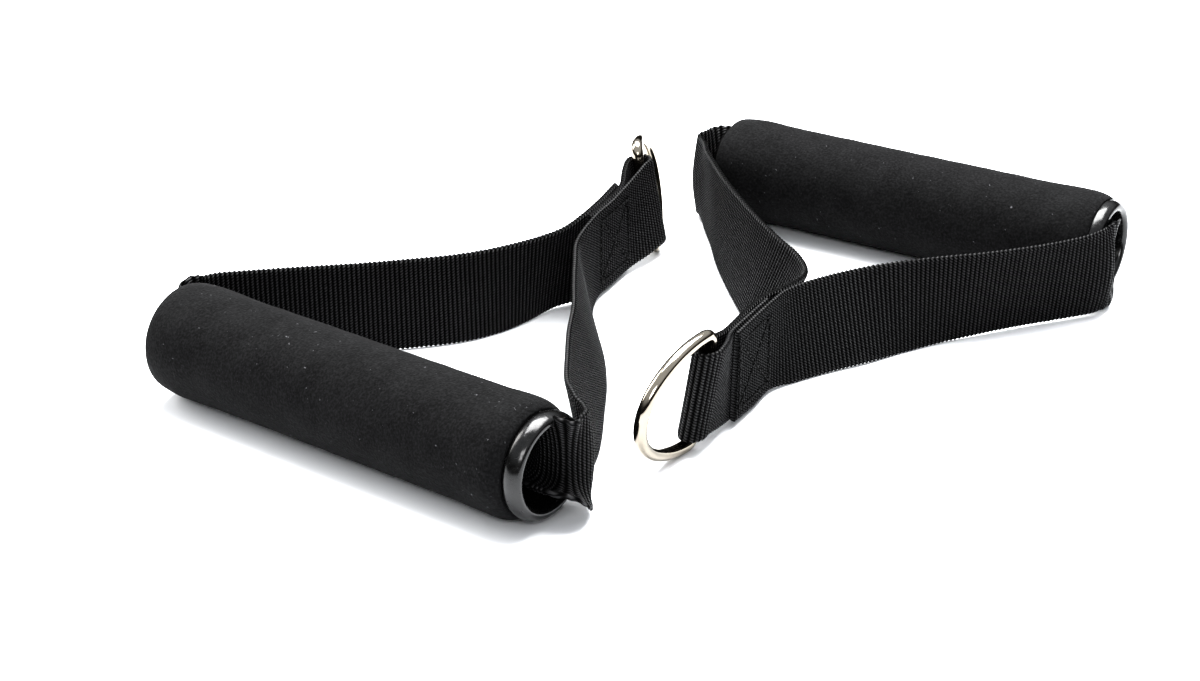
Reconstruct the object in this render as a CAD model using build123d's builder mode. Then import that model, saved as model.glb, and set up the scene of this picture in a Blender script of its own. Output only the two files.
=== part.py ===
"""A pair of exercise-band handles: foam grips on tubes, webbing straps and D-rings.

Each handle has its own frame: X along the grip, Y from the grip to the D-ring, Z up,
and its origin on the floor below the middle of the grip.
"""
import os
from math import atan2, cos, degrees, hypot, radians, sin

from build123d import *

# Foam sleeve and the tube inside it
FOAM_RADIUS = 17.3
FOAM_FLARE = 0.4              # the foam is this much thicker near its ends
FOAM_STRAIGHT = 45.0          # from the middle to where the flare starts
FOAM_FLARE_END = 60.0         # and to where the rounded end starts
FOAM_COVER = 3.9              # how far the covered end reaches past the tube
AXIS_HEIGHT = FOAM_RADIUS + FOAM_FLARE
TUBE_RADIUS = 14.1
TUBE_LENGTH = 132.0
TUBE_WALL = 1.4
FIT_GAP = 0.05                # between pieces that are pushed together

# Flanged rings at the grip's ends
RING_BORE_RADIUS = 11.8
RING_FLANGE_RADIUS = 15.8
RING_FLANGE_DEPTH = 5.9       # from the tube's end to the tip of the round lip
RING_SPIGOT_LENGTH = 12.0

# Webbing strap
STRAP_WIDTH = 30.0
STRAP_THICKNESS = 1.8
LAYER_PITCH = 2.0             # from layer to layer where the strap is sewn together
BORE_CURL = 168.0             # angle of the strap's round section inside the bore
FLAT_CURL = 1.0               # the nearly flat section everywhere else
SECTIONS_PER_STATION = 3
SEW_START = 44.0              # the sewn stretch, measured back from the D-ring's bar
SEW_END = 17.0

# D-ring
WIRE_RADIUS = 2.0
D_HALF_HEIGHT = 18.5          # wire centre line, along the straight bar
D_DEPTH = 30.0                # wire centre line, from the bar to the top of the bow
D_CORNER_RADIUS = 3.5

# Box of stitches with a cross in it
STITCH_BOX_LENGTH = 22.0
STITCH_BOX_HEIGHT = 22.0
STITCH_PITCH = 2.75
STITCH_LENGTH = 2.1
THREAD_WIDTH = 0.7
THREAD_PROUD = 0.25

# Stations along a leg of the strap, in the handle's frame: x, y and z of the middle of
# its width, the lean of its top edge towards the inside of the handle, and the curl of
# its section, in degrees. The lapped leg goes from the sewn stretch to the grip's -X
# end, and the looped leg goes from the +X end to the sewn stretch. The foam covers the
# ring's lip at one end and leaves it bare at the other, on the bare side.
HANDLES = {
    "a": {
        "origin": (-27.5, -114.4),
        "yaw": 0.0,
        "bare_side": 1,
        "lapped_leg": [
            (-12.8, 112, 15.4, 9, 0),
            (-14.6, 99, 15.2, 5, 0),
            (-18.0, 87, 15.1, 0, 0),
            (-23.8, 75, 15.2, -3, 0),
            (-32.2, 64, 15.3, -4, 0),
            (-43.0, 51.6, 15.4, -3, 0),
            (-54.0, 39.7, 15.6, -3, 0),
            (-65.0, 27.8, 15.8, -2, 0),
            (-72.8, 19.0, 16.0, -1, 0),
            (-76.2, 14.0, 16.4, 0, -20),
            (-75.2, 11.0, 17.0, 0, 40),
        ],
        "looped_leg": [
            (74.0, 10.6, 17.0, 0, 45),
            (75.0, 12.4, 16.6, 0, -5),
            (74.2, 14.7, 16.3, 0, -25),
            (71.2, 17.6, 16.0, 1, -25),
            (66.8, 20.0, 15.9, 4, -10),
            (62.8, 23.8, 15.7, 8, 0),
            (59.2, 28.6, 15.4, 13, 0),
            (54.8, 35.6, 15.1, 17, 0),
            (48.9, 44.5, 14.9, 19, 0),
            (40.2, 57, 14.8, 20, 0),
            (30.6, 71.5, 14.8, 19, 0),
            (19.8, 85.5, 14.8, 18, 0),
            (9.4, 98, 14.9, 14, 0),
            (0.2, 109, 15.3, 8, 0),
        ],
        "bar_centre": (-17.5, 167.4, 20.5),
        "bar_lean": 11.0,
        "sewn_heading": 102.5,
        "bow_heading": 121.0,
    },
    "b": {
        "origin": (27.8, 109.4),
        "yaw": 184.8,
        "bare_side": -1,
        "lapped_leg": [
            (-11.0, 109, 15.0, 11, 0),
            (-15.4, 97.5, 14.8, 16, 0),
            (-22.0, 85.3, 14.7, 18, 0),
            (-30.3, 73, 15.0, 9, 0),
            (-38.6, 62.3, 15.3, 1, 0),
            (-47.3, 52.4, 15.6, -5, 0),
            (-55.7, 41.8, 15.7, -8, 0),
            (-63.5, 31.5, 15.7, -8, 0),
            (-70.6, 22.9, 15.9, -6, -10),
            (-75.0, 17.6, 16.1, -2, -32),
            (-76.9, 13.8, 16.4, 0, -42),
            (-75.3, 10.9, 17.0, 0, 15),
        ],
        "looped_leg": [
            (75.2, 10.4, 17.1, 0, 60),
            (78.3, 11.0, 16.7, 0, 5),
            (79.0, 13.2, 16.4, 0, -30),
            (74.6, 17.2, 16.1, 0, -25),
            (68.8, 22.5, 16.0, 0, 0),
            (59.1, 33.8, 15.7, 2, 0),
            (50.4, 43.9, 15.4, 6, 0),
            (41.4, 53.4, 15.2, 10, 0),
            (29.5, 65.2, 14.9, 15, 0),
            (17.5, 76.2, 14.6, 21, 0),
            (7.0, 84.5, 14.4, 25, 0),
            (-1.0, 94, 14.6, 22, 0),
            (-3.8, 107, 15.2, 12, 0),
        ],
        "bar_centre": (-10.5, 164.5, 20.3),
        "bar_lean": 9.0,
        "sewn_heading": 95.0,
        "bow_heading": 85.0,
    },
}


def handle_plane(handle):
    """The handle's own frame: X along the grip, Y towards the D-ring."""
    turn = radians(handle["yaw"])
    return Plane(origin=(*handle["origin"], 0), x_dir=(cos(turn), sin(turn), 0), z_dir=(0, 0, 1))


def grip_section_plane(frame):
    """A plane along the grip's axis: X along the grip, Y up from the axis."""
    centre = frame.from_local_coords((0, 0, AXIS_HEIGHT))
    return Plane(origin=centre, x_dir=frame.x_dir, z_dir=-frame.y_dir)


def grip_axis(frame):
    return Axis(frame.from_local_coords((0, 0, AXIS_HEIGHT)), frame.x_dir)


def core_tube(frame):
    """The stiff tube that the foam is pushed onto."""
    with BuildPart() as tube:
        with BuildSketch(grip_section_plane(frame)):
            with Locations((0, TUBE_RADIUS - TUBE_WALL / 2)):
                Rectangle(TUBE_LENGTH, TUBE_WALL)
        revolve(axis=grip_axis(frame))
    return tube.part


def end_ring(frame, side):
    """A ring with a fat round flange, its spigot pushed into the tube."""
    seat = TUBE_LENGTH / 2
    tip = seat + RING_FLANGE_DEPTH
    spigot_radius = TUBE_RADIUS - TUBE_WALL - FIT_GAP
    back = (side * (seat + FIT_GAP), RING_FLANGE_RADIUS - 0.8)
    shoulder = (side * (tip - 0.8), RING_FLANGE_RADIUS - 0.8)
    throat = (side * (tip - 1.3), RING_BORE_RADIUS + 0.3)
    with BuildPart() as ring:
        with BuildSketch(grip_section_plane(frame)):
            with BuildLine():
                ThreePointArc(back, (side * (seat + 2.6), RING_FLANGE_RADIUS), shoulder)
                ThreePointArc(shoulder, (side * tip, (shoulder[1] + throat[1]) / 2), throat)
                Polyline(
                    throat,
                    (side * (tip - 2.6), RING_BORE_RADIUS),
                    (side * (seat - RING_SPIGOT_LENGTH), RING_BORE_RADIUS),
                    (side * (seat - RING_SPIGOT_LENGTH), spigot_radius),
                    (side * (seat + FIT_GAP), spigot_radius),
                    back,
                )
            make_face()
        revolve(axis=grip_axis(frame))
    return ring.part


def foam_sleeve(frame, bare_side):
    """The foam sleeve: it stops behind one ring's flange and covers the other's."""
    inner = TUBE_RADIUS + FIT_GAP
    mouth = RING_FLANGE_RADIUS + FIT_GAP
    flared = FOAM_RADIUS + FOAM_FLARE
    bare = bare_side
    covered = -bare_side
    bare_end = TUBE_LENGTH / 2
    covered_end = bare_end + FOAM_COVER
    with BuildPart() as sleeve:
        with BuildSketch(grip_section_plane(frame)):
            with BuildLine():
                Polyline(
                    (bare * FOAM_FLARE_END, flared),
                    (bare * FOAM_STRAIGHT, FOAM_RADIUS),
                    (covered * FOAM_STRAIGHT, FOAM_RADIUS),
                    (covered * FOAM_FLARE_END, flared),
                )
                ThreePointArc(
                    (covered * FOAM_FLARE_END, flared),
                    (covered * (covered_end - 3.2), flared - 0.5),
                    (covered * covered_end, flared - 1.4),
                )
                Polyline(
                    (covered * covered_end, flared - 1.4),
                    (covered * covered_end, mouth),
                    (covered * bare_end, mouth),
                    (covered * bare_end, inner),
                    (bare * bare_end, inner),
                    (bare * bare_end, flared - 2.1),
                )
                ThreePointArc(
                    (bare * bare_end, flared - 2.1),
                    (bare * (bare_end - 1.8), flared - 0.75),
                    (bare * FOAM_FLARE_END, flared),
                )
            make_face()
        revolve(axis=grip_axis(frame))
    return sleeve.part


def bar_direction(handle):
    """The D-ring bar's own direction: upright, leaning to the left of the sewn heading."""
    heading = radians(handle["sewn_heading"])
    lean = radians(handle["bar_lean"])
    return Vector(-sin(heading) * sin(lean), cos(heading) * sin(lean), cos(lean))


def sewn_station(handle, along, right, lean_share, z_drop):
    """A station beside the bar, by its distances along and to the right of the heading."""
    heading = radians(handle["sewn_heading"])
    centre = Vector(*handle["bar_centre"])
    point = centre + Vector(cos(heading), sin(heading), 0) * along
    point += Vector(sin(heading), -cos(heading), 0) * right - Vector(0, 0, z_drop)
    upright = Vector(0, 0, 1)
    width = upright + (bar_direction(handle) - upright) * lean_share
    return (point, width.normalized(), FLAT_CURL)


def sewn_rows(right):
    """A layer of the sewn stretch at that distance to the right, away from the D-ring."""
    return [
        (-SEW_END, right, 0.2, 3.4),
        (-30, right, 0, 3.9),
        (-SEW_START, right, 0, 4.2),
    ]


def wrap_stations(handle):
    """The looped leg's sewn stretch, its turn round the bar, and the layer that returns."""
    half = LAYER_PITCH / 2
    going = sewn_rows(half)[::-1] + [(-8, 2.6, 0.7, 1.9)]
    turn = []
    for angle in (-20, 20, 60, 90, 120, 160, 200):
        turn.append((5.4 * sin(radians(angle)), 3.6 * cos(radians(angle)), 1, 0.9))
    coming = [(-8, -2.6, 0.7, 1.9)] + sewn_rows(-half)
    return [sewn_station(handle, *row) for row in going + turn + coming]


def leg_stations(rows):
    """Stations of a leg as points, width directions and curls."""
    stations = []
    for i, (x, y, z, lean, curl) in enumerate(rows):
        before = rows[max(i - 1, 0)]
        after = rows[min(i + 1, len(rows) - 1)]
        run = hypot(after[0] - before[0], after[1] - before[1])
        left = Vector((before[1] - after[1]) / run, (after[0] - before[0]) / run, 0)
        width = left * sin(radians(lean)) + Vector(0, 0, cos(radians(lean)))
        stations.append((Vector(x, y, z), width, curl))
    return stations


def bore_stations():
    """The strap inside the bore, curled against its wall on the D-ring's side."""
    reach = STRAP_WIDTH / radians(BORE_CURL)
    upright = Vector(0, 0, 1)
    places = (-72.8, -70.5, 0, 70.5, 72.8)
    return [(Vector(x, reach, AXIS_HEIGHT), upright, BORE_CURL) for x in places]


def strap_stations(handle):
    """The whole strap, from its cut end over the lapped leg, the bore and the looped leg."""
    stations = [sewn_station(handle, *row) for row in sewn_rows(-LAYER_PITCH * 1.5)]
    stations += leg_stations(handle["lapped_leg"])
    stations += bore_stations()
    stations += leg_stations(handle["looped_leg"])
    return stations + wrap_stations(handle)


def slopes(values, steps):
    """Slope of a smooth curve at each station, from the slopes of the runs beside it."""
    runs = [(values[i + 1] - values[i]) * (1 / steps[i]) for i in range(len(steps))]
    inner = []
    for i in range(1, len(steps)):
        share = steps[i] / (steps[i - 1] + steps[i])
        inner.append(runs[i - 1] * share + runs[i] * (1 - share))
    return [runs[0]] + inner + [runs[-1]]


def smooth(values, rates, steps, i, s):
    """Hermite curve between station i and the next, at share s of the way."""
    step = steps[i]
    return (
        values[i] * (2 * s**3 - 3 * s**2 + 1)
        + rates[i] * (step * (s**3 - 2 * s**2 + s))
        + values[i + 1] * (3 * s**2 - 2 * s**3)
        + rates[i + 1] * (step * (s**3 - s**2))
    )


def section_planes(stations):
    """Planes across the strap and the curl at each, evenly placed between stations."""
    points = [row[0] for row in stations]
    widths = [row[1] for row in stations]
    curls = [row[2] for row in stations]
    steps = [(points[i + 1] - points[i]).length for i in range(len(points) - 1)]
    rates = [slopes(values, steps) for values in (points, widths, curls)]
    shares = [k / SECTIONS_PER_STATION for k in range(SECTIONS_PER_STATION)]
    spots = [(i, s) for i in range(len(steps)) for s in shares]
    spots.append((len(steps) - 1, 1.0))
    planes = []
    for i, s in spots:
        point = smooth(points, rates[0], steps, i, s)
        width = smooth(widths, rates[1], steps, i, s).normalized()
        curl = smooth(curls, rates[2], steps, i, s)
        if abs(curl) < FLAT_CURL:
            curl = FLAT_CURL
        ahead = smooth(points, rates[0], steps, i, min(s + 0.01, 1))
        behind = smooth(points, rates[0], steps, i, max(s - 0.01, 0))
        across = width.cross(ahead - behind).normalized()
        planes.append((Plane(origin=point, x_dir=across, z_dir=across.cross(width)), curl))
    return planes


def strap(handle, frame):
    """The webbing as one solid: a thin section lofted along its stations."""
    with BuildPart() as band:
        for plane, curl in section_planes(strap_stations(handle)):
            half = radians(curl) / 2
            radius = STRAP_WIDTH / radians(curl)
            place = Plane(
                origin=frame.from_local_coords(plane.origin),
                x_dir=frame.from_local_coords(plane.x_dir) - frame.origin,
                z_dir=frame.from_local_coords(plane.z_dir) - frame.origin,
            )
            with BuildSketch(place):
                with BuildLine():
                    inner = radius - STRAP_THICKNESS / 2
                    outer = radius + STRAP_THICKNESS / 2
                    low = [(r * cos(half) - radius, -r * sin(half)) for r in (inner, outer)]
                    high = [(r * cos(half) - radius, r * sin(half)) for r in (inner, outer)]
                    ThreePointArc(low[0], (inner - radius, 0), high[0])
                    Line(high[0], high[1])
                    ThreePointArc(high[1], (outer - radius, 0), low[1])
                    Line(low[1], low[0])
                make_face()
        loft(ruled=True)
    return band.part


def ring_plane(handle, frame):
    """The D-ring's plane: X from the bar to the bow, Y along the bar."""
    heading = radians(handle["bow_heading"])
    bar = bar_direction(handle)
    out = Vector(cos(heading), sin(heading), 0)
    out = (out - bar * out.dot(bar)).normalized()
    return Plane(
        origin=frame.from_local_coords(handle["bar_centre"]),
        x_dir=frame.from_local_coords(out) - frame.origin,
        z_dir=frame.from_local_coords(out.cross(bar)) - frame.origin,
    )


def d_ring(handle, frame):
    """A welded ring of round wire: straight bar, round corners, half-ellipse bow."""
    flat = ring_plane(handle, frame)
    corner = D_CORNER_RADIUS
    reach = D_HALF_HEIGHT - corner
    with BuildPart() as ring:
        with BuildLine(flat) as wire:
            Line((0, -reach), (0, reach))
            RadiusArc((0, reach), (corner, D_HALF_HEIGHT), corner)
            EllipticalCenterArc((corner, 0), D_DEPTH - corner, D_HALF_HEIGHT, 90, arc_size=-180)
            RadiusArc((corner, -D_HALF_HEIGHT), (0, -reach), corner)
        with BuildSketch(Plane(origin=flat.origin, x_dir=flat.x_dir, z_dir=flat.y_dir)):
            Circle(WIRE_RADIUS)
        sweep(path=wire.wires()[0])
    return ring.part


def stitch_rows():
    """The box's four sides and the cross in it, as pairs of ends."""
    x = STITCH_BOX_LENGTH / 2
    y = STITCH_BOX_HEIGHT / 2
    corners = [(-x, -y), (x, -y), (x, y), (-x, y)]
    sides = [(corners[i], corners[(i + 1) % 4]) for i in range(4)]
    return sides + [(corners[0], corners[2]), (corners[1], corners[3])]


def box_stitching(handle, frame):
    """Lock stitches through all three layers, in a box with a cross."""
    heading = radians(handle["sewn_heading"])
    middle = (SEW_START + SEW_END) / 2 - 1
    centre, _, _ = sewn_station(handle, -middle, -LAYER_PITCH / 2, 0, 3.9)
    face = Plane(
        origin=frame.from_local_coords(centre),
        x_dir=frame.from_local_coords((cos(heading), sin(heading), 0)) - frame.origin,
        z_dir=frame.from_local_coords((sin(heading), -cos(heading), 0)) - frame.origin,
    )
    depth = LAYER_PITCH + STRAP_THICKNESS / 2 + THREAD_PROUD
    with BuildPart() as thread:
        with BuildSketch(face):
            for (x0, y0), (x1, y1) in stitch_rows():
                run = hypot(x1 - x0, y1 - y0)
                count = round(run / STITCH_PITCH)
                turn = degrees(atan2(y1 - y0, x1 - x0))
                for k in range(count):
                    share = (k + 0.5) / count
                    spot = (x0 + (x1 - x0) * share, y0 + (y1 - y0) * share, 0)
                    with Locations(Location(spot, (0, 0, turn))):
                        SlotOverall(STITCH_LENGTH, THREAD_WIDTH)
        extrude(amount=depth, both=True)
    return thread.part


def save(part, name):
    part.label = name
    export_step(part, f"parts/{name}.step")


def main():
    os.makedirs("parts", exist_ok=True)
    for key, handle in HANDLES.items():
        frame = handle_plane(handle)
        save(foam_sleeve(frame, handle["bare_side"]), f"foam_grip_{key}")
        save(core_tube(frame), f"core_tube_{key}")
        save(end_ring(frame, -1), f"end_ring_lapped_{key}")
        save(end_ring(frame, 1), f"end_ring_looped_{key}")
        save(strap(handle, frame), f"webbing_strap_{key}")
        save(d_ring(handle, frame), f"d_ring_{key}")
        save(box_stitching(handle, frame), f"box_stitching_{key}")


main()
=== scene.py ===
from math import cos, hypot, pi, radians, sin

import bmesh
import bpy
import numpy as np
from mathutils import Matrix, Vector


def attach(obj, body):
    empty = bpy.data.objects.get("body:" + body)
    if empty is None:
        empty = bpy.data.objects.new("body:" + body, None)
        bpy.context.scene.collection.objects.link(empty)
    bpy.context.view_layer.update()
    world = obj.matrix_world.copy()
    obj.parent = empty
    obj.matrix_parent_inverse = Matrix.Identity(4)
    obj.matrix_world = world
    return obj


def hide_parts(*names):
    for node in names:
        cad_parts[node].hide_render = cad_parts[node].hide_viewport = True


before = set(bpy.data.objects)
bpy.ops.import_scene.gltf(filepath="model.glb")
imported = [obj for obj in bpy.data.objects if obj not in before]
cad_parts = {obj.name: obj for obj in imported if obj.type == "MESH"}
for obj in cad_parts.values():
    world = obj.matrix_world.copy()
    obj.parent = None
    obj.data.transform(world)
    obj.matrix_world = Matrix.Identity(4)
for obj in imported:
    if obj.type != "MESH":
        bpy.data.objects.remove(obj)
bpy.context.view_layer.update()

# Foam grip, in metres from its middle and from its axis
FOAM_RADIUS = 0.0173
FOAM_FLARE = 0.0004           # the foam is this much thicker near its ends
FOAM_STRAIGHT = 0.045         # from the middle to where the flare starts
FOAM_FLARE_END = 0.060        # and to where the rounded end starts
AXIS_HEIGHT = FOAM_RADIUS + FOAM_FLARE
TUBE_END = 0.066
COVERED_END = 0.0699          # the end where the foam covers the ring's lip
COVERED_MOUTH_RADIUS = 0.0162
LIP_RADIUS = 0.01585
TUBE_RADIUS = 0.01415
DENT_DEPTH = 0.00005
FOAM_SPOKES = 160

# Webbing
STRAP_WIDTH = 0.030
STRAP_THICKNESS = 0.0018
LAYER_PITCH = 0.0020          # from layer to layer where the strap is sewn together
BORE_CURL = 168.0             # angle of the strap's round section inside the bore
FLAT_CURL = 1.0               # the nearly flat section everywhere else
SEW_START = 0.044             # the sewn stretch, measured back from the D-ring's bar
SEW_END = 0.017
SEW_DROP = 0.0039             # how far the sewn layers lie below the bar's middle
RIB_PITCH = 0.0015
RIB_HEIGHT = 0.00019
YARN_PITCH = 0.00095
SELVEDGE_BUMP = 0.00022
SELVEDGE_WIDTH = 0.0015
SAMPLES_PER_RIB = 6
SAMPLES_ACROSS = 30
SAMPLES_ROUND_EDGE = 5
WIDTH_STEPS = 120             # even grid on which the section's curve is summed

# Where the strap leaves the bore at the looped end, its lower edge hooks inwards and the
# strap is shifted. Both come in and fade out over these distances along it past the mouth.
MOUTH = 0.0720                # from the grip's middle to the bore's mouth, along X
BORE_REACH = 0.011            # inside the bore the strap's Y is below this
MOUTH_RISE = (-0.0160, -0.0060)
MOUTH_FADE = (-0.0010, 0.0065)
MOUTH_SHIFT = (0.0, -0.0050, 0.0005)
MOUTH_CURL = 50.0             # the most that the section curls there
HOOK_ANGLE = 130.0
HOOK_TOP = -0.005             # the hook starts this far below the middle of the width

# D-ring
WIRE_RADIUS = 0.002
D_HALF_HEIGHT = 0.0185
D_DEPTH = 0.030
D_CORNER_RADIUS = 0.0035
WIRE_SPOKES = 32

# Box of stitches with a cross in it
STITCH_BOX_LENGTH = 0.022
STITCH_BOX_HEIGHT = 0.022
STITCH_BOX_BACK = 0.0295      # from the D-ring's bar back to the middle of the box
STITCH_PITCH = 0.00275
STITCH_LENGTH = 0.0022
THREAD_RADIUS = 0.00030
STITCH_PROUD = 0.00007        # middle of the thread above the strap's face, mid-stitch
STITCH_DIVE = 0.00045         # and how much deeper it is at the stitch's ends
THREAD_RINGS = 9
THREAD_SPOKES = 8
PULL_DEPTH = 0.00028          # how far a row of stitches draws the webbing in
PULL_WIDTH = 0.0008

# Stations of each leg: x, y, z of the middle of the width in the handle's own frame,
# the lean of the top edge towards the inside, and the curl of the section, in degrees.
# The foam leaves one ring's lip bare: bare_side is that end, and bare_foam says how far
# from the middle the foam reaches there and the radius of its mouth.
HANDLES = {
    "a": {
        "origin": (-0.0275, -0.1144),
        "yaw": 0.0,
        "bare_side": 1,
        "bare_foam": (0.0660, 0.0156),
        "lapped_leg": [
            (-0.0128, 0.1120, 0.0154, 9, 0),
            (-0.0146, 0.0990, 0.0152, 5, 0),
            (-0.0180, 0.0870, 0.0151, 0, 0),
            (-0.0238, 0.0750, 0.0152, -3, 0),
            (-0.0322, 0.0640, 0.0153, -4, 0),
            (-0.0430, 0.0516, 0.0154, -3, 0),
            (-0.0540, 0.0397, 0.0156, -3, 0),
            (-0.0650, 0.0278, 0.0158, -2, 0),
            (-0.0728, 0.0190, 0.0160, -1, 0),
            (-0.0762, 0.0140, 0.0164, 0, -20),
            (-0.0752, 0.0110, 0.0170, 0, 40),
        ],
        "looped_leg": [
            (0.0740, 0.0106, 0.0170, 0, 45),
            (0.0750, 0.0124, 0.0166, 0, -5),
            (0.0742, 0.0147, 0.0163, 0, -25),
            (0.0712, 0.0176, 0.0160, 1, -25),
            (0.0668, 0.0200, 0.0159, 4, -10),
            (0.0628, 0.0238, 0.0157, 8, 0),
            (0.0592, 0.0286, 0.0154, 13, 0),
            (0.0548, 0.0356, 0.0151, 17, 0),
            (0.0489, 0.0445, 0.0149, 19, 0),
            (0.0402, 0.0570, 0.0148, 20, 0),
            (0.0306, 0.0715, 0.0148, 19, 0),
            (0.0198, 0.0855, 0.0148, 18, 0),
            (0.0094, 0.0980, 0.0149, 14, 0),
            (0.0002, 0.1090, 0.0153, 8, 0),
        ],
        "bar_centre": (-0.0175, 0.1674, 0.0205),
        "bar_lean": 11.0,
        "sewn_heading": 102.5,
        "bow_heading": 121.0,
    },
    "b": {
        "origin": (0.0278, 0.1094),
        "yaw": 184.8,
        "bare_side": -1,
        "bare_foam": (0.0678, 0.0160),
        "lapped_leg": [
            (-0.0110, 0.1090, 0.0150, 11, 0),
            (-0.0154, 0.0975, 0.0148, 16, 0),
            (-0.0220, 0.0853, 0.0147, 18, 0),
            (-0.0303, 0.0730, 0.0150, 9, 0),
            (-0.0386, 0.0623, 0.0153, 1, 0),
            (-0.0473, 0.0524, 0.0156, -5, 0),
            (-0.0557, 0.0418, 0.0157, -8, 0),
            (-0.0635, 0.0315, 0.0157, -8, 0),
            (-0.0706, 0.0229, 0.0159, -6, -10),
            (-0.0750, 0.0176, 0.0161, -2, -32),
            (-0.0769, 0.0138, 0.0164, 0, -42),
            (-0.0753, 0.0109, 0.0170, 0, 15),
        ],
        "looped_leg": [
            (0.0752, 0.0104, 0.0171, 0, 60),
            (0.0783, 0.0110, 0.0167, 0, 5),
            (0.0790, 0.0132, 0.0164, 0, -30),
            (0.0746, 0.0172, 0.0161, 0, -25),
            (0.0688, 0.0225, 0.0160, 0, 0),
            (0.0591, 0.0338, 0.0157, 2, 0),
            (0.0504, 0.0439, 0.0154, 6, 0),
            (0.0414, 0.0534, 0.0152, 10, 0),
            (0.0295, 0.0652, 0.0149, 15, 0),
            (0.0175, 0.0762, 0.0146, 21, 0),
            (0.0070, 0.0845, 0.0144, 25, 0),
            (-0.0010, 0.0940, 0.0146, 22, 0),
            (-0.0038, 0.1070, 0.0152, 12, 0),
        ],
        "bar_centre": (-0.0105, 0.1645, 0.0203),
        "bar_lean": 9.0,
        "sewn_heading": 95.0,
        "bow_heading": 85.0,
    },
}

# Camera, looking at a point on the floor
CAMERA_TARGET = (-0.0159, -0.0119, 0.0)
CAMERA_AZIMUTH = 36.77
CAMERA_ELEVATION = 25.62
CAMERA_DISTANCE = 0.7843
CAMERA_LENS = 73.5
SENSOR_WIDTH = 36.0


# ---------------------------------------------------------------- stage

def make_camera():
    data = bpy.data.cameras.new("camera")
    data.lens = CAMERA_LENS
    data.sensor_width = SENSOR_WIDTH
    data.clip_start = 0.01
    data.clip_end = 50.0
    camera = bpy.data.objects.new("camera", data)
    bpy.context.collection.objects.link(camera)
    turn, lift = radians(CAMERA_AZIMUTH), radians(CAMERA_ELEVATION)
    back = Vector((sin(turn) * cos(lift), -cos(turn) * cos(lift), sin(lift)))
    camera.location = Vector(CAMERA_TARGET) + back * CAMERA_DISTANCE
    camera.rotation_euler = back.to_track_quat("Z", "Y").to_euler()
    bpy.context.scene.camera = camera


def area_light(name, size, place, aim, watts, colour=(1, 1, 1)):
    data = bpy.data.lights.new(name, "AREA")
    data.shape = "RECTANGLE"
    data.size, data.size_y = size
    data.energy = watts
    data.color = colour
    light = bpy.data.objects.new(name, data)
    bpy.context.collection.objects.link(light)
    light.location = place
    light.rotation_euler = (Vector(place) - Vector(aim)).to_track_quat("Z", "Y").to_euler()


def make_floor():
    bpy.ops.mesh.primitive_plane_add(size=8, location=(0, 0, 0))
    floor = bpy.context.object
    floor.name = "floor"
    floor.data.materials.append(floor_material())


def make_lights():
    area_light("top_soft_box", (1.3, 1.0), (-0.15, 0.35, 1.35), (0, 0.05, 0), 56)
    area_light("front_soft_box", (0.5, 0.4), (0.75, -0.95, 0.75), (0.02, 0, 0.02), 5)
    area_light("left_soft_box", (0.5, 0.9), (-1.1, -0.3, 0.7), (0, 0, 0.02), 9, (1.0, 0.985, 0.96))


def make_world():
    """A studio that is dark low down and bright from 33 degrees up, for the reflections."""
    world = bpy.data.worlds.new("studio")
    world.use_nodes = True
    tree = world.node_tree
    height = tree.nodes.new("ShaderNodeSeparateXYZ")
    ramp = tree.nodes.new("ShaderNodeValToRGB")
    direction = tree.nodes.new("ShaderNodeTexCoord").outputs["Generated"]
    tree.links.new(direction, height.inputs["Vector"])
    tree.links.new(height.outputs["Z"], ramp.inputs["Fac"])
    ramp.color_ramp.elements[0].position = 0.22
    ramp.color_ramp.elements[0].color = (0.05, 0.045, 0.04, 1)
    ramp.color_ramp.elements[1].position = 0.55
    ramp.color_ramp.elements[1].color = (0.9, 0.92, 0.95, 1)
    background = tree.nodes["Background"]
    tree.links.new(ramp.outputs["Color"], background.inputs["Color"])
    background.inputs["Strength"].default_value = 0.85
    bpy.context.scene.world = world


def set_view():
    bpy.context.scene.view_settings.view_transform = "Standard"
    bpy.context.scene.view_settings.look = "High Contrast"


# ---------------------------------------------------------------- material helpers

class Nodes:
    """Short names for building a node material."""

    def __init__(self, name):
        self.material = bpy.data.materials.new(name)
        self.material.use_nodes = True
        self.tree = self.material.node_tree
        self.shader = self.tree.nodes["Principled BSDF"]

    def add(self, kind, **settings):
        node = self.tree.nodes.new("ShaderNode" + kind)
        for key, value in settings.items():
            setattr(node, key, value)
        return node

    def link(self, output, target):
        self.tree.links.new(output, target)

    def set(self, **values):
        for key, value in values.items():
            self.shader.inputs[key.replace("_", " ")].default_value = value

    def math(self, operation, first, second=0.0):
        node = self.add("Math", operation=operation)
        for socket, value in zip(node.inputs, (first, second)):
            if isinstance(value, (int, float)):
                socket.default_value = value
            else:
                self.link(value, socket)
        return node.outputs[0]

    def position(self):
        return self.add("TexCoord").outputs["Object"]

    def noise(self, scale, detail):
        node = self.add("TexNoise")
        node.inputs["Scale"].default_value = scale
        node.inputs["Detail"].default_value = detail
        self.link(self.position(), node.inputs["Vector"])
        return node.outputs["Fac"]

    def ramp(self, value, *stops):
        node = self.add("ValToRGB")
        ramp = node.color_ramp
        while len(ramp.elements) < len(stops):
            ramp.elements.new(0.5)
        for element, (place, colour) in zip(ramp.elements, stops):
            element.position = place
            element.color = (*colour, 1)
        self.link(value, node.inputs["Fac"])
        return node.outputs["Color"]

    def bump(self, height, distance, strength=1.0, under=None):
        node = self.add("Bump")
        node.inputs["Distance"].default_value = distance
        node.inputs["Strength"].default_value = strength
        self.link(height, node.inputs["Height"])
        if under is not None:
            self.link(under, node.inputs["Normal"])
        return node.outputs["Normal"]


def floor_material():
    n = Nodes("white_floor")
    n.set(Base_Color=(0.86, 0.87, 0.885, 1), Roughness=0.6)
    return n.material


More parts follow.
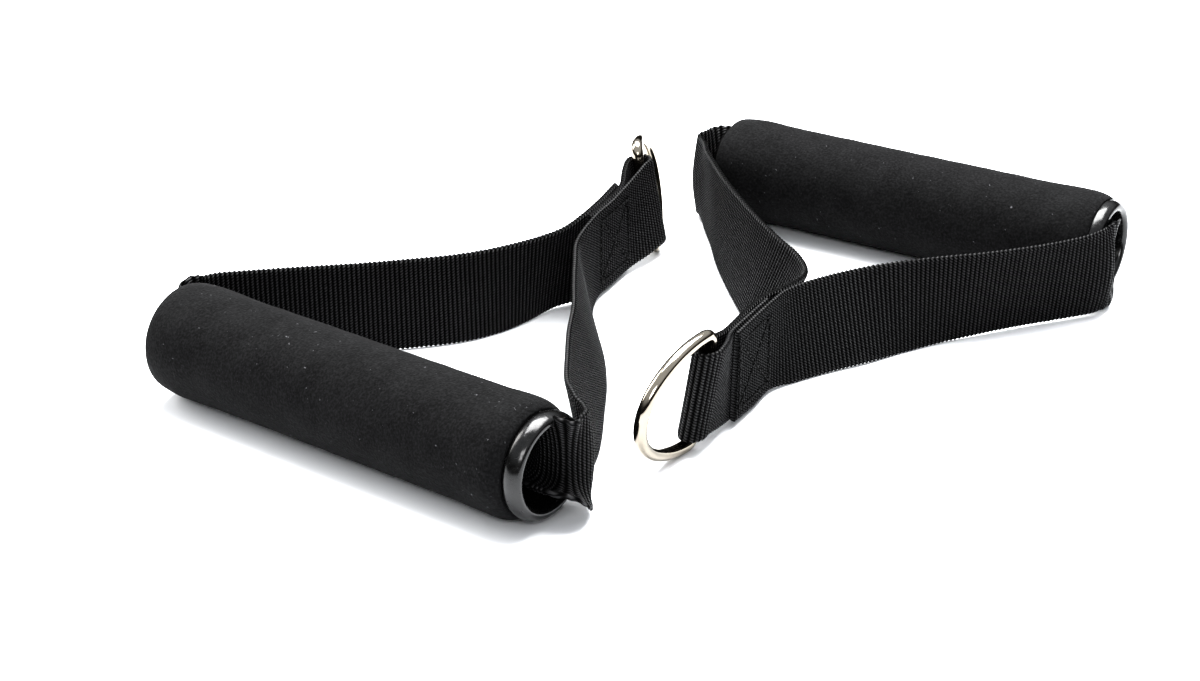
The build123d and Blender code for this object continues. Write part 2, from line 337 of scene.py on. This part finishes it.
def foam_material():
    n = Nodes("black_foam")
    n.set(Roughness=0.85, Sheen_Weight=0.02, Sheen_Roughness=0.5, Specular_IOR_Level=0.14)
    cells = n.add("TexVoronoi")
    cells.inputs["Scale"].default_value = 1500
    n.link(n.position(), cells.inputs["Vector"])
    shade = n.ramp(n.noise(110, 6), (0.3, (0.0025, 0.0025, 0.0027)), (0.7, (0.0062, 0.0062, 0.0065)))
    grain = n.ramp(n.noise(1300, 3), (0.40, (0.0, 0.0, 0.0)), (0.66, (0.0075, 0.0075, 0.0078)))
    specks = n.ramp(n.noise(700, 2), (0.72, (0, 0, 0)), (0.78, (0.09, 0.09, 0.095)))
    colour = shade
    for layer in (grain, specks):
        both = n.add("MixRGB", blend_type="ADD")
        both.inputs["Fac"].default_value = 1
        n.link(colour, both.inputs["Color1"])
        n.link(layer, both.inputs["Color2"])
        colour = both.outputs["Color"]
    n.link(colour, n.shader.inputs["Base Color"])
    rough = n.bump(cells.outputs["Distance"], 0.00016, 0.7)
    rough = n.bump(n.noise(420, 6), 0.0003, 0.4, rough)
    n.link(rough, n.shader.inputs["Normal"])
    return n.material


def webbing_material():
    n = Nodes("ribbed_webbing")
    n.set(Roughness=0.45)
    weave = n.add("Attribute", attribute_name="weave")
    split = n.add("SeparateXYZ")
    n.link(weave.outputs["Vector"], split.inputs["Vector"])
    along, across = split.outputs["X"], split.outputs["Y"]
    rib = n.math("MULTIPLY", along, 2 * pi / RIB_PITCH)
    ridge = n.math("ADD", n.math("MULTIPLY", n.math("COSINE", rib), 0.5), 0.5)
    lean = n.math("MULTIPLY", n.noise(900, 2), 2.5)
    turns = n.math("MULTIPLY", across, 2 * pi / YARN_PITCH)
    twist = n.math("ADD", turns, n.math("ADD", rib, lean))
    strand = n.math("ADD", n.math("MULTIPLY", n.math("SINE", twist), 0.5), 0.5)
    fibre = n.noise(6500, 3)
    crest = n.math("ADD", n.math("POWER", ridge, 1.2), 0.12)
    yarn = n.math("MULTIPLY", crest, n.math("ADD", strand, 0.16))
    # Painted shade and light: the base colour is near black in the valleys between the ribs and
    # between the yarn strands and lightest on their crests; the fibre noise adds a random tone.
    painted_rib_shade = n.math("MULTIPLY", n.math("ADD", yarn, 0.03), n.math("ADD", fibre, 0.35))
    colour = n.ramp(painted_rib_shade, (0.04, (0.0004, 0.0004, 0.0004)), (0.85, (0.036, 0.036, 0.037)))
    n.link(colour, n.shader.inputs["Base Color"])
    gloss = n.ramp(yarn, (0.1, (0.02, 0.02, 0.02)), (0.8, (0.32, 0.32, 0.32)))
    n.link(gloss, n.shader.inputs["Specular IOR Level"])
    n.link(n.bump(yarn, 0.00030, 1.0, n.bump(fibre, 0.00008, 0.6)), n.shader.inputs["Normal"])
    return n.material


def thread_material():
    n = Nodes("black_thread")
    n.set(Roughness=0.5, Specular_IOR_Level=0.2)
    colour = n.ramp(n.noise(3000, 3), (0.3, (0.002, 0.002, 0.002)), (0.7, (0.014, 0.014, 0.0145)))
    n.link(colour, n.shader.inputs["Base Color"])
    n.link(n.bump(n.noise(5000, 2), 0.00008), n.shader.inputs["Normal"])
    return n.material


def ring_plastic_material():
    n = Nodes("gloss_black_plastic")
    n.set(Specular_IOR_Level=0.55)
    colour = n.ramp(n.noise(40, 3), (0.3, (0.003, 0.003, 0.003)), (0.7, (0.006, 0.006, 0.006)))
    n.link(colour, n.shader.inputs["Base Color"])
    marks = n.ramp(n.noise(700, 6), (0.4, (0.16, 0.16, 0.16)), (0.7, (0.3, 0.3, 0.3)))
    n.link(marks, n.shader.inputs["Roughness"])
    n.link(n.bump(n.noise(900, 5), 0.00003, 0.3), n.shader.inputs["Normal"])
    return n.material


def tube_material():
    n = Nodes("plain_black_tube")
    n.set(Roughness=0.55)
    colour = n.ramp(n.noise(120, 4), (0.3, (0.003, 0.003, 0.003)), (0.7, (0.007, 0.007, 0.007)))
    n.link(colour, n.shader.inputs["Base Color"])
    n.link(n.bump(n.noise(400, 4), 0.00005, 0.4), n.shader.inputs["Normal"])
    return n.material


def nickel_material():
    n = Nodes("nickel_plate")
    n.set(Metallic=1.0)
    colour = n.ramp(n.noise(60, 4), (0.3, (0.29, 0.262, 0.218)), (0.7, (0.38, 0.348, 0.296)))
    n.link(colour, n.shader.inputs["Base Color"])
    marks = n.ramp(n.noise(900, 6), (0.4, (0.06, 0.06, 0.06)), (0.75, (0.16, 0.16, 0.16)))
    n.link(marks, n.shader.inputs["Roughness"])
    n.link(n.bump(n.noise(350, 4), 0.00006, 0.25), n.shader.inputs["Normal"])
    return n.material


# ---------------------------------------------------------------- meshes

def place(handle, points):
    """Points of the handle's own frame, moved into the row frame."""
    turn = radians(handle["yaw"])
    spin = np.array([[cos(turn), -sin(turn), 0], [sin(turn), cos(turn), 0], [0, 0, 1]])
    return points @ spin.T + np.array([*handle["origin"], 0.0])


def new_mesh(name, verts, faces, material):
    mesh = bpy.data.meshes.new(name)
    mesh.from_pydata([tuple(v) for v in verts], [], faces)
    mesh.materials.append(material)
    mesh.polygons.foreach_set("use_smooth", [True] * len(mesh.polygons))
    mesh.update()
    piece = bpy.data.objects.new(name, mesh)
    bpy.context.collection.objects.link(piece)
    return piece


def tidy_normals(piece):
    """Turns every face of a closed mesh outwards."""
    mesh = bmesh.new()
    mesh.from_mesh(piece.data)
    bmesh.ops.recalc_face_normals(mesh, faces=mesh.faces)
    mesh.to_mesh(piece.data)
    mesh.free()


def grid_faces(rows, columns, closed=False):
    """Quads of rows of vertices, each row a ring; closed joins the last row to the first."""
    faces = []
    for i in range(rows if closed else rows - 1):
        for j in range(columns):
            a, b = i * columns + j, i * columns + (j + 1) % columns
            k = ((i + 1) % rows) * columns
            faces.append((a, b, k + (j + 1) % columns, k + j))
    return faces


# ---------------------------------------------------------------- strap

def bar_direction(handle):
    """Unit vector up the D-ring's straight bar."""
    heading, lean = radians(handle["sewn_heading"]), radians(handle["bar_lean"])
    return np.array([-sin(heading) * sin(lean), cos(heading) * sin(lean), cos(lean)])


def sewn_axes(handle):
    """The sewn stretch's directions: towards the D-ring, and to its right."""
    heading = radians(handle["sewn_heading"])
    return np.array([cos(heading), sin(heading), 0]), np.array([sin(heading), -cos(heading), 0])


def sewn_station(handle, along, right, lean_share, z_drop):
    """A station beside the D-ring's bar, with that share of the bar's lean."""
    ahead, aside = sewn_axes(handle)
    point = np.array(handle["bar_centre"]) + ahead * along + aside * right - np.array([0, 0, z_drop])
    upright = np.array([0, 0, 1.0])
    width = upright + (bar_direction(handle) - upright) * lean_share
    return (*point, *(width / np.linalg.norm(width)), FLAT_CURL)


def sewn_rows(right):
    """A layer of the sewn stretch at that distance to the right, away from the D-ring."""
    return [
        (-SEW_END, right, 0.2, 0.0034),
        (-0.030, right, 0, SEW_DROP),
        (-SEW_START, right, 0, 0.0042),
    ]


def wrap_stations(handle):
    """The looped leg's sewn stretch, its turn round the bar, and the layer that returns."""
    half = LAYER_PITCH / 2
    going = sewn_rows(half)[::-1] + [(-0.008, 0.0026, 0.7, 0.0019)]
    turn = []
    for angle in (-20, 20, 60, 90, 120, 160, 200):
        turn.append((0.0054 * sin(radians(angle)), 0.0036 * cos(radians(angle)), 1, 0.0009))
    coming = [(-0.008, -0.0026, 0.7, 0.0019)] + sewn_rows(-half)
    return [sewn_station(handle, *row) for row in going + turn + coming]


def leg_stations(rows):
    """Stations of a leg as points, width directions and curls."""
    stations = []
    for i, (x, y, z, lean, curl) in enumerate(rows):
        before = rows[max(i - 1, 0)]
        after = rows[min(i + 1, len(rows) - 1)]
        run = hypot(after[0] - before[0], after[1] - before[1])
        left = ((before[1] - after[1]) / run, (after[0] - before[0]) / run)
        tip = sin(radians(lean))
        stations.append((x, y, z, left[0] * tip, left[1] * tip, cos(radians(lean)), curl))
    return stations


def bore_stations():
    """The strap inside the bore, curled against its wall on the D-ring's side."""
    reach = STRAP_WIDTH / radians(BORE_CURL)
    places = (-0.0728, -0.0705, 0, 0.0705, 0.0728)
    return [(x, reach, AXIS_HEIGHT, 0, 0, 1, BORE_CURL) for x in places]


def strap_stations(handle):
    stations = [sewn_station(handle, *row) for row in sewn_rows(-LAYER_PITCH * 1.5)]
    stations += leg_stations(handle["lapped_leg"]) + bore_stations()
    return stations + leg_stations(handle["looped_leg"]) + wrap_stations(handle)


def smooth_route(stations, share):
    """Hermite curve through the stations at each share, in stations from the first."""
    values = np.array(stations)
    steps = np.linalg.norm(np.diff(values[:, :3], axis=0), axis=1)
    runs = np.diff(values, axis=0) / steps[:, None]
    weight = (steps[:-1] / (steps[:-1] + steps[1:]))[:, None]
    rates = np.vstack([runs[:1], runs[:-1] * weight + runs[1:] * (1 - weight), runs[-1:]])
    i = np.clip(share.astype(int), 0, len(steps) - 1)
    s = (share - i)[:, None]
    step = steps[i][:, None]
    return (
        values[i] * (2 * s**3 - 3 * s**2 + 1)
        + rates[i] * step * (s**3 - 2 * s**2 + s)
        + values[i + 1] * (3 * s**2 - 2 * s**3)
        + rates[i + 1] * step * (s**3 - s**2)
    )


def facing(width, point):
    """The direction square to the strap's width and its travel, at each point."""
    normal = np.cross(width, np.gradient(point, axis=0))
    return normal / np.linalg.norm(normal, axis=1)[:, None]


def travelled(point):
    """Distance along the route at each point."""
    steps = np.linalg.norm(np.diff(point, axis=0), axis=1)
    return np.concatenate([[0], np.cumsum(steps)])


def ease(value, low, high):
    """Nought below low, one above high, and smooth between."""
    share = np.clip((value - low) / (high - low), 0, 1)
    return share * share * (3 - 2 * share)


def mouth_share(point):
    """One where the strap leaves the bore at the looped end, fading to nought around it."""
    distance = travelled(point)
    in_bore = np.flatnonzero((np.abs(point[:, 0]) < MOUTH) & (point[:, 1] < BORE_REACH))
    outside = distance - distance[in_bore[-1]]
    return ease(outside, *MOUTH_RISE) * (1 - ease(outside, *MOUTH_FADE))


def even_route(stations):
    """The route at even steps of a share of a rib: distance, point, width, curl and hook."""
    dense = np.linspace(0, len(stations) - 1, len(stations) * 200)
    route = smooth_route(stations, dense)
    mouth = mouth_share(route[:, :3])
    route[:, :3] += mouth[:, None] * np.array(MOUTH_SHIFT)
    curl = np.where(np.abs(route[:, 6]) < FLAT_CURL, FLAT_CURL, route[:, 6])
    curl = curl * (1 - mouth) + np.minimum(curl, MOUTH_CURL) * mouth
    length = travelled(route[:, :3])
    distance = np.linspace(0, length[-1], int(length[-1] / RIB_PITCH) * SAMPLES_PER_RIB)
    columns = [*route[:, :6].T, curl, HOOK_ANGLE * mouth]
    even = np.array([np.interp(distance, length, column) for column in columns]).T
    width = even[:, 3:6] / np.linalg.norm(even[:, 3:6], axis=1)[:, None]
    return distance, even[:, :3], width, even[:, 6], even[:, 7]


def section():
    """Round the strap's section: place across the width, and 1 to -1 from face to face."""
    flat = STRAP_WIDTH / 2 - STRAP_THICKNESS / 2
    across = np.linspace(-flat, flat, SAMPLES_ACROSS)
    turn = np.linspace(0, pi, SAMPLES_ROUND_EDGE + 2)[1:-1]
    ring = [(v, 1.0) for v in across]
    ring += [(flat + STRAP_THICKNESS / 2 * sin(t), cos(t)) for t in turn]
    ring += [(v, -1.0) for v in across[::-1]]
    ring += [(-flat - STRAP_THICKNESS / 2 * sin(t), -cos(t)) for t in turn]
    return np.array(ring)


def curve_across(curl, hook):
    """Along-width and inward reach and turn of the section, on an even grid of its width."""
    grid = np.linspace(-STRAP_WIDTH / 2, STRAP_WIDTH / 2, WIDTH_STEPS + 1)
    below = np.clip(HOOK_TOP - grid, 0, None) / (HOOK_TOP + STRAP_WIDTH / 2)
    turn = np.radians(curl)[:, None] * grid / STRAP_WIDTH - np.radians(hook)[:, None] * below
    step = grid[1] - grid[0]
    reaches = []
    for rate in (np.cos(turn), np.sin(turn)):
        total = np.cumsum((rate[:, 1:] + rate[:, :-1]) / 2 * step, axis=1)
        total = np.hstack([np.zeros((len(curl), 1)), total])
        reaches.append(total - total[:, [WIDTH_STEPS // 2]])
    return reaches[0], reaches[1], turn


def on_grid(values, across):
    """Values of the even grid at these places across the width."""
    place_on = (across / STRAP_WIDTH + 0.5) * WIDTH_STEPS
    left = np.clip(place_on.astype(int), 0, WIDTH_STEPS - 1)
    share = place_on - left
    return values[:, left] * (1 - share) + values[:, left + 1] * share


def seam_rows():
    """Ends of the rows of stitches, in the box's own plane: four sides and a cross."""
    x, y = STITCH_BOX_LENGTH / 2, STITCH_BOX_HEIGHT / 2
    corners = [(-x, -y), (x, -y), (x, y), (-x, y)]
    sides = [(corners[i], corners[(i + 1) % 4]) for i in range(4)]
    return sides + [(corners[0], corners[2]), (corners[1], corners[3])]


def seam_frame(handle):
    """Centre of the stitched box and its axes: along the strap, up its width, out of it."""
    centre = np.array(sewn_station(handle, -STITCH_BOX_BACK, -LAYER_PITCH / 2, 0, SEW_DROP)[:3])
    ahead, aside = sewn_axes(handle)
    return centre, ahead, np.array([0, 0, 1.0]), aside


def seam_pull(handle, points, normals):
    """How far the stitches pull each point of the outer faces in."""
    centre, ahead, up, aside = seam_frame(handle)
    local = points - centre
    along, height, out = local @ ahead, local @ up, local @ aside
    nearest = np.full(len(points), 1.0)
    for (x0, y0), (x1, y1) in seam_rows():
        run = np.array([x1 - x0, y1 - y0])
        share = ((along - x0) * run[0] + (height - y0) * run[1]) / (run @ run)
        share = np.clip(share, 0, 1)
        gap = np.hypot(along - x0 - share * run[0], height - y0 - share * run[1])
        nearest = np.minimum(nearest, gap)
    outer_layer = (np.abs(out) > LAYER_PITCH) & (np.abs(out) < 2 * LAYER_PITCH)
    outer_face = (normals @ aside) * out > 0
    pull = PULL_DEPTH * np.exp(-((nearest / PULL_WIDTH) ** 2))
    return np.where(outer_layer & outer_face, pull, 0)


def make_strap(key, handle, material):
    """The ribbed strap from cut end to cut end; returns its piece and its length."""
    distance, point, width, curl, hook = even_route(strap_stations(handle))
    normal = facing(width, point)
    ring = section()
    across, side = ring[:, 0][None, :], ring[:, 1][None, :]
    up, reach, turn = (on_grid(part, ring[:, 0]) for part in curve_across(curl, hook))
    width, normal = width[:, None, :], normal[:, None, :]
    sine, cosine = np.sin(turn)[..., None], np.cos(turn)[..., None]
    middle = point[:, None, :] + up[..., None] * width - reach[..., None] * normal
    out = cosine * normal + sine * width
    chord = cosine * width - sine * normal
    phase = 2 * pi * distance / RIB_PITCH
    ridge = np.cos(phase)[:, None]
    inward = np.clip((STRAP_WIDTH / 2 - np.abs(across)) / SELVEDGE_WIDTH, 0, 1)
    half = STRAP_THICKNESS / 2 + RIB_HEIGHT * (ridge - 0.9) * inward
    edge = SELVEDGE_BUMP * np.cos(phase + pi)[:, None] * (1 - inward)
    verts = middle + (side * half)[..., None] * out + (np.sign(across) * edge)[..., None] * chord
    flat = verts.reshape(-1, 3)
    face_out = ((np.sign(side) * np.ones_like(turn))[..., None] * out).reshape(-1, 3)
    flat = flat - seam_pull(handle, flat, face_out)[:, None] * face_out
    rows, columns = len(distance), len(ring)
    faces = grid_faces(rows, columns)
    faces.append(tuple(range(columns)))
    faces.append(tuple(reversed(range((rows - 1) * columns, rows * columns))))
    piece = new_mesh("webbing_" + key, place(handle, flat), faces, material)
    weave = piece.data.attributes.new("weave", "FLOAT_VECTOR", "POINT")
    values = np.zeros((rows, columns, 3))
    values[..., 0] = distance[:, None]
    values[..., 1] = across
    weave.data.foreach_set("vector", values.reshape(-1))
    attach(piece, "strap_" + key)
    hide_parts("webbing_strap_" + key)
    return piece, distance[-1]


# ---------------------------------------------------------------- stitches

def stitch_verts(spot, lengthwise, sideways, outward):
    """Rings of one stitch round its thread, which arches out and dives in at both ends."""
    verts = []
    face = LAYER_PITCH + STRAP_THICKNESS / 2
    for i in range(THREAD_RINGS):
        t = -1 + 2 * i / (THREAD_RINGS - 1)
        thick = THREAD_RADIUS * max((1 - t**8), 0.05) ** 0.5
        lift = face + STITCH_PROUD - STITCH_DIVE * t**4
        for j in range(THREAD_SPOKES):
            a = 2 * pi * j / THREAD_SPOKES
            verts.append(
                spot
                + lengthwise * (t * STITCH_LENGTH / 2)
                + sideways * (thick * cos(a))
                + outward * (lift + thick * sin(a))
            )
    return verts


def stitch_faces(base):
    """Faces of one stitch whose first vertex is base: its side and its two ends."""
    last = base + (THREAD_RINGS - 1) * THREAD_SPOKES
    faces = [tuple(base + v for v in face) for face in grid_faces(THREAD_RINGS, THREAD_SPOKES)]
    faces.append(tuple(base + v for v in range(THREAD_SPOKES)))
    faces.append(tuple(last + v for v in reversed(range(THREAD_SPOKES))))
    return faces


def make_stitches(key, handle, material):
    centre, ahead, up, aside = seam_frame(handle)
    verts, faces = [], []
    for outward in (aside, -aside):
        for (x0, y0), (x1, y1) in seam_rows():
            run = hypot(x1 - x0, y1 - y0)
            count = round(run / STITCH_PITCH)
            ux, uy = (x1 - x0) / run, (y1 - y0) / run
            lengthwise = ahead * ux + up * uy
            sideways = ahead * -uy + up * ux
            for k in range(count):
                share = (k + 0.5) / count
                spot = centre + ahead * (x0 + (x1 - x0) * share) + up * (y0 + (y1 - y0) * share)
                faces += stitch_faces(len(verts))
                verts += stitch_verts(spot, lengthwise, sideways, outward)
    piece = new_mesh("box_stitches_" + key, place(handle, np.array(verts)), faces, material)
    tidy_normals(piece)
    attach(piece, "strap_" + key)
    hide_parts("box_stitching_" + key)


# ---------------------------------------------------------------- foam

def foam_end(end, mouth, power):
    """Outside of one end of the sleeve, from the end of its flare to its mouth."""
    flared = FOAM_RADIUS + FOAM_FLARE
    line = []
    for a in np.linspace(0, pi / 2, 34)[1:]:
        x = FOAM_FLARE_END + (end - FOAM_FLARE_END) * sin(a)
        line.append((x, mouth + (flared - mouth) * max(cos(a), 0) ** power))
    return line


def foam_flare():
    """Outside of the sleeve from its middle to the end of its flare."""
    line = []
    for x in np.linspace(0, FOAM_FLARE_END, 60):
        share = min(max((x - FOAM_STRAIGHT) / (FOAM_FLARE_END - FOAM_STRAIGHT), 0), 1)
        line.append((x, FOAM_RADIUS + FOAM_FLARE * share * share * (3 - 2 * share)))
    return line


def foam_profile(bare_end, bare_mouth):
    """Section of the sleeve: out to its bare end, back inside, and round the covered end."""
    bare = foam_flare() + foam_end(bare_end, bare_mouth, 1.3)
    covered = foam_flare() + foam_end(COVERED_END, COVERED_MOUTH_RADIUS, 1.2)
    if bare_end > TUBE_END:
        bare += [(bare_end, LIP_RADIUS), (TUBE_END, LIP_RADIUS)]
    inside = [(x, TUBE_RADIUS) for x in np.linspace(TUBE_END, -TUBE_END, 24)]
    seat = [(-TUBE_END, LIP_RADIUS), (-COVERED_END, LIP_RADIUS)]
    return bare + inside + seat + [(-x, r) for x, r in covered[:0:-1]]


def make_foam(key, handle, material):
    loop = np.array(foam_profile(*handle["bare_foam"]))
    loop[:, 0] *= handle["bare_side"]
    angle = np.linspace(0, 2 * pi, FOAM_SPOKES, endpoint=False)
    x = loop[:, 0][:, None]
    r = loop[:, 1][:, None]
    outside = r > COVERED_MOUTH_RADIUS
    dents = (
        np.sin(x * 260 + 3 * np.sin(angle * 2 + 1.0))
        * np.cos(angle * 3 + x * 140)
        + 0.6 * np.sin(x * 610 + angle * 5)
    )
    r = r + np.where(outside, DENT_DEPTH * dents, 0)
    xs = np.broadcast_to(x, r.shape)
    verts = np.stack([xs, r * np.cos(angle), AXIS_HEIGHT + r * np.sin(angle)], axis=-1).reshape(-1, 3)
    faces = grid_faces(len(loop), FOAM_SPOKES, closed=True)
    piece = new_mesh("foam_sleeve_" + key, place(handle, verts), faces, material)
    tidy_normals(piece)
    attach(piece, "grip_" + key)
    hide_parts("foam_grip_" + key)


# ---------------------------------------------------------------- D-ring

def d_outline():
    """Centre line of the wire in the ring's plane: outwards from the bar, and along it."""
    reach = D_HALF_HEIGHT - D_CORNER_RADIUS
    line = [(0, y) for y in np.linspace(-reach, reach, 40)]
    for a in np.linspace(0, pi / 2, 12)[1:-1]:
        line.append((D_CORNER_RADIUS * (1 - cos(a)), reach + D_CORNER_RADIUS * sin(a)))
    for a in np.linspace(pi / 2, -pi / 2, 90):
        line.append((D_CORNER_RADIUS + (D_DEPTH - D_CORNER_RADIUS) * cos(a), D_HALF_HEIGHT * sin(a)))
    for a in np.linspace(pi / 2, 0, 12)[1:-1]:
        line.append((D_CORNER_RADIUS * (1 - cos(a)), -reach - D_CORNER_RADIUS * sin(a)))
    return np.array(line)


def make_d_ring(key, handle, material):
    heading = radians(handle["bow_heading"])
    bar = bar_direction(handle)
    out = np.array([cos(heading), sin(heading), 0])
    out -= bar * (out @ bar)
    out /= np.linalg.norm(out)
    outward = np.cross(out, bar)
    line = d_outline()
    path = np.array(handle["bar_centre"]) + line[:, :1] * out + line[:, 1:] * bar
    ahead = np.roll(path, -1, axis=0) - np.roll(path, 1, axis=0)
    ahead /= np.linalg.norm(ahead, axis=1)[:, None]
    inner = np.cross(ahead, outward)
    angle = np.linspace(0, 2 * pi, WIRE_SPOKES, endpoint=False)
    verts = (
        path[:, None, :]
        + WIRE_RADIUS * np.cos(angle)[None, :, None] * inner[:, None, :]
        + WIRE_RADIUS * np.sin(angle)[None, :, None] * outward
    ).reshape(-1, 3)
    faces = grid_faces(len(path), WIRE_SPOKES, closed=True)
    piece = new_mesh("nickel_d_ring_" + key, place(handle, verts), faces, material)
    tidy_normals(piece)
    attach(piece, "ring_" + key)
    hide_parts("d_ring_" + key)


# ---------------------------------------------------------------- build

def paint_node(name, material):
    """Puts a material on a CAD node that shows as it is."""
    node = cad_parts[name]
    node.data.materials.clear()
    node.data.materials.append(material)
    node.data.polygons.foreach_set("use_smooth", [True] * len(node.data.polygons))


make_camera()
make_floor()
make_lights()
make_world()
set_view()
webbing, thread, foam = webbing_material(), thread_material(), foam_material()
nickel, gloss, tube = nickel_material(), ring_plastic_material(), tube_material()
for key, handle in HANDLES.items():
    strap, cut_length = make_strap(key, handle, webbing)
    make_stitches(key, handle, thread)
    make_foam(key, handle, foam)
    make_d_ring(key, handle, nickel)
    paint_node("core_tube_" + key, tube)
    paint_node("end_ring_lapped_" + key, gloss)
    paint_node("end_ring_looped_" + key, gloss)
